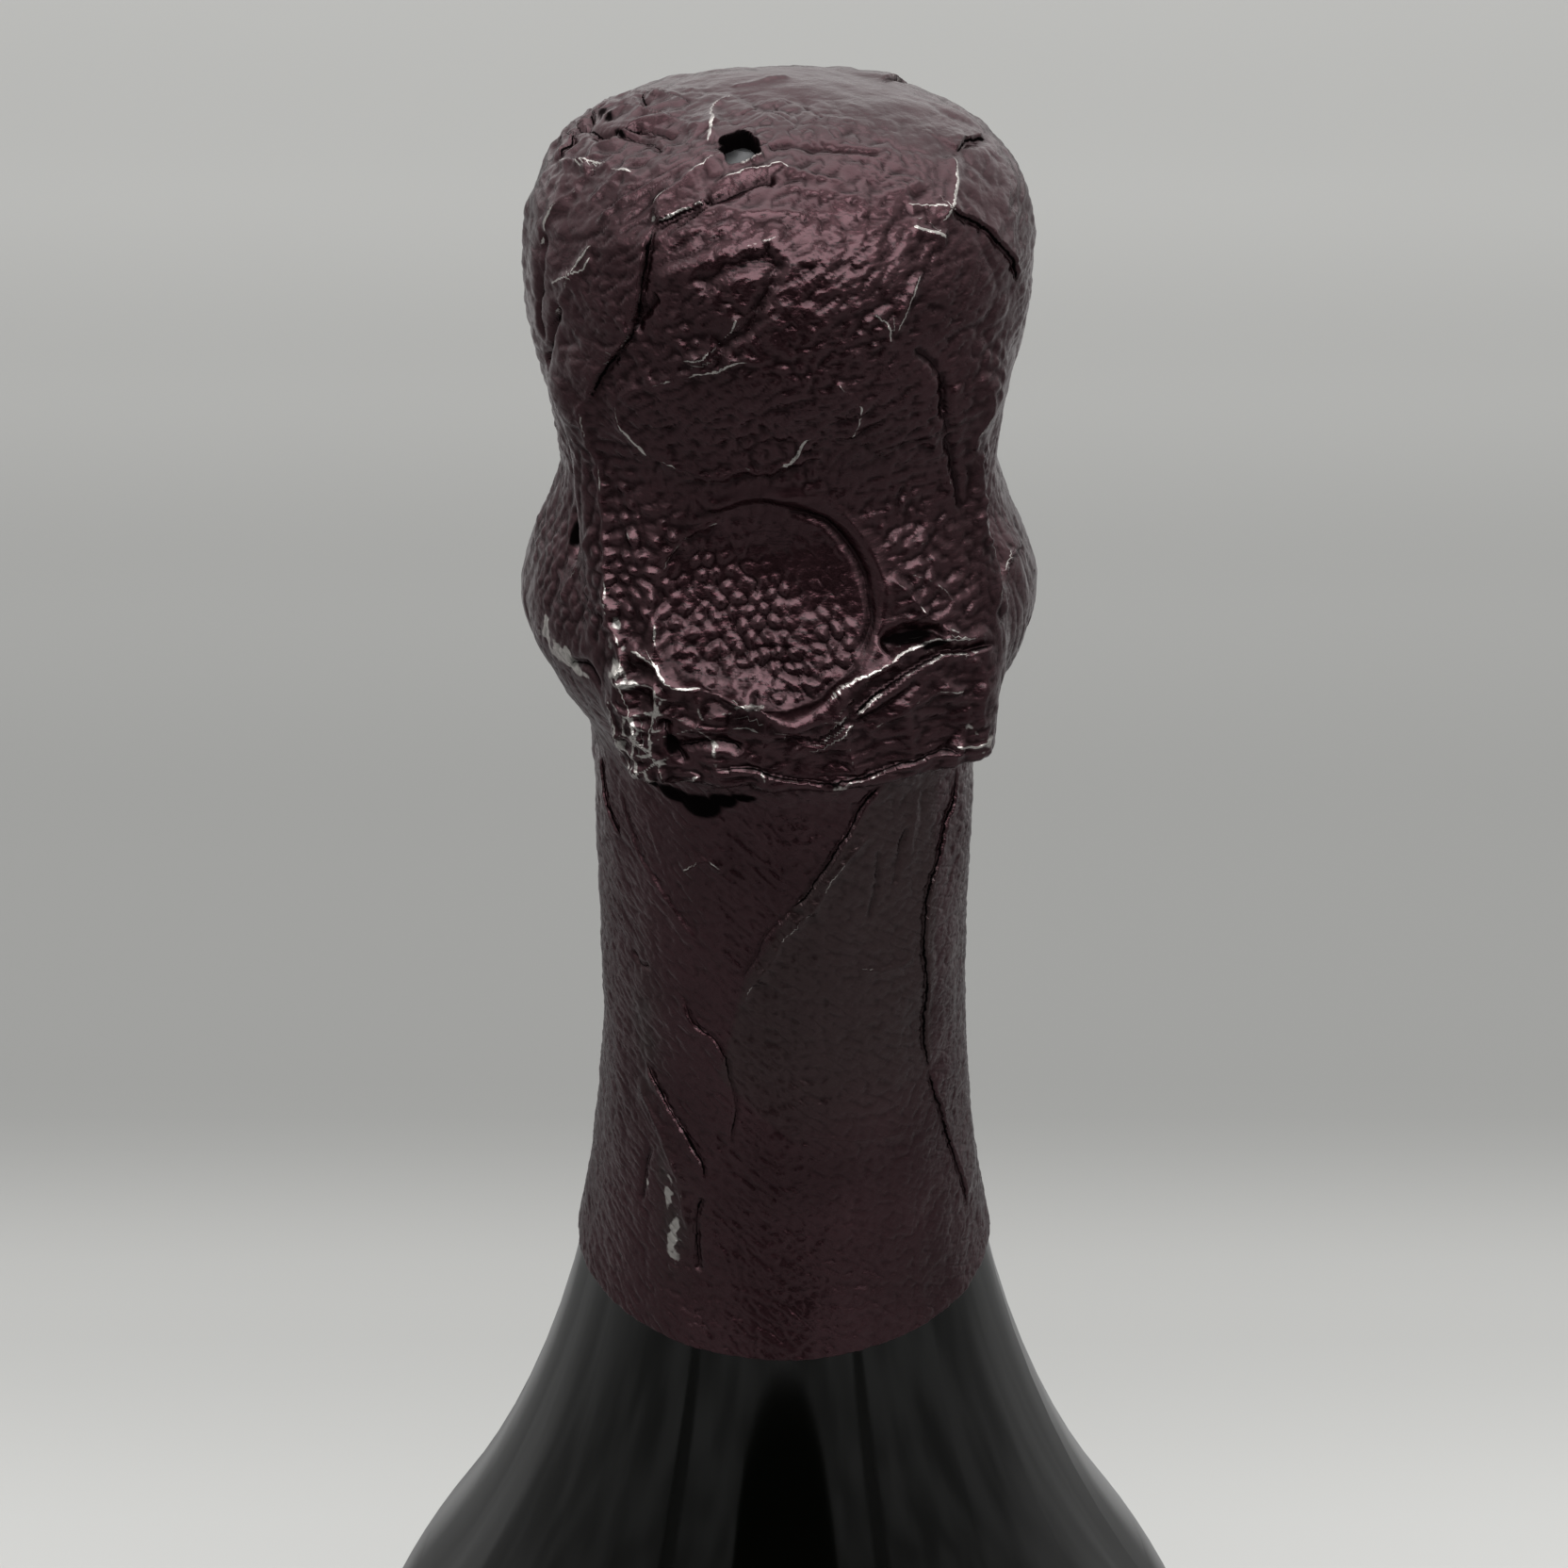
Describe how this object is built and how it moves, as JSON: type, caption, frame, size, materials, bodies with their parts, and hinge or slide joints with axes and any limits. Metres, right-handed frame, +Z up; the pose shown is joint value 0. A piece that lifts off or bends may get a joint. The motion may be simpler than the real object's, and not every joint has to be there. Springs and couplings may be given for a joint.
{
  "type": "sparkling wine bottle",
  "caption": "Sealed dark glass bottle with a wired stopper under crumpled burgundy foil over the top and upper neck; long curved shoulders and a punted base.",
  "frame": {"origin": "centre of the ring that the bottle stands on, at the surface it stands on", "axes": "+Z up along the bottle's axis to the stopper, -Y towards the front, where the foil has its flat panel with a round hollow, +X to the right of the front"},
  "size_m": [0.0885, 0.0884, 0.316],
  "materials": {
    "glass": "gloss",
    "stopper_cap": "satin",
    "foil": "satin, crumpled, worn to bare metal on its sharpest creases"
  },
  "bodies": {
    "root": {"glass": "glass", "stopper": "stopper_cap", "foil": "foil"}
  },
  "joints": []
}
